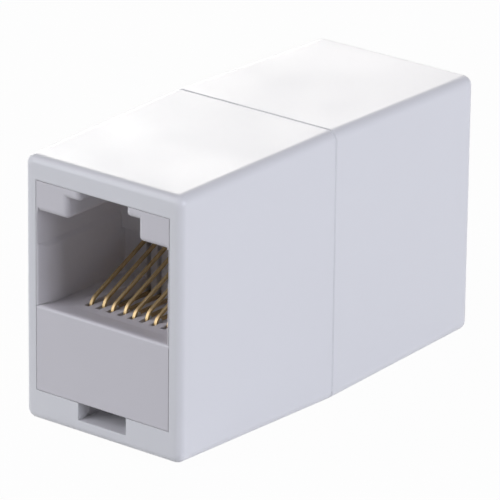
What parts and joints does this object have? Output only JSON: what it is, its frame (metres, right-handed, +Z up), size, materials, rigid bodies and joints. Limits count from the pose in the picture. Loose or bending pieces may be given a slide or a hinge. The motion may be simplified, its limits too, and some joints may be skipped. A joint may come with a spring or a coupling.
{
  "type": "rj45 inline coupler",
  "caption": "White straight-through inline coupler that joins two eight-way modular network plugs, with a female jack at each end of a two-shell box.",
  "frame": {"origin": "under the seam, at the middle of the underside, on the plane the coupler stands on", "axes": "+X across the width, +Y along the length from the front jack to the rear jack, +Z up, with the latch channels on top"},
  "size_m": [0.0154, 0.035, 0.0213],
  "materials": {
    "shell": "semi-gloss",
    "jack": "semi-gloss",
    "contact": "gold plated",
    "splice": "tinned",
    "lead_blue": "satin insulation",
    "lead_orange": "satin insulation",
    "lead_black": "satin insulation",
    "lead_red": "satin insulation",
    "lead_green": "satin insulation",
    "lead_yellow": "satin insulation",
    "lead_brown": "satin insulation",
    "lead_white": "satin insulation"
  },
  "bodies": {
    "root": {"front_shell": "shell", "front_jack_body": "jack", "rear_shell": "shell", "rear_jack_body": "jack", "front_contact_1": "contact", "front_contact_2": "contact", "front_contact_3": "contact", "front_contact_4": "contact", "front_contact_5": "contact", "front_contact_6": "contact", "front_contact_7": "contact", "front_contact_8": "contact", "rear_contact_1": "contact", "rear_contact_2": "contact", "rear_contact_3": "contact", "rear_contact_4": "contact", "rear_contact_5": "contact", "rear_contact_6": "contact", "rear_contact_7": "contact", "rear_contact_8": "contact", "front_splice_1": "splice", "front_splice_2": "splice", "front_splice_3": "splice", "front_splice_4": "splice", "front_splice_5": "splice", "front_splice_6": "splice", "front_splice_7": "splice", "front_splice_8": "splice", "rear_splice_1": "splice", "rear_splice_2": "splice", "rear_splice_3": "splice", "rear_splice_4": "splice", "rear_splice_5": "splice", "rear_splice_6": "splice", "rear_splice_7": "splice", "rear_splice_8": "splice", "lead_1": "lead_blue", "lead_2": "lead_orange", "lead_3": "lead_black", "lead_4": "lead_red", "lead_5": "lead_green", "lead_6": "lead_yellow", "lead_7": "lead_brown", "lead_8": "lead_white"}
  },
  "joints": []
}
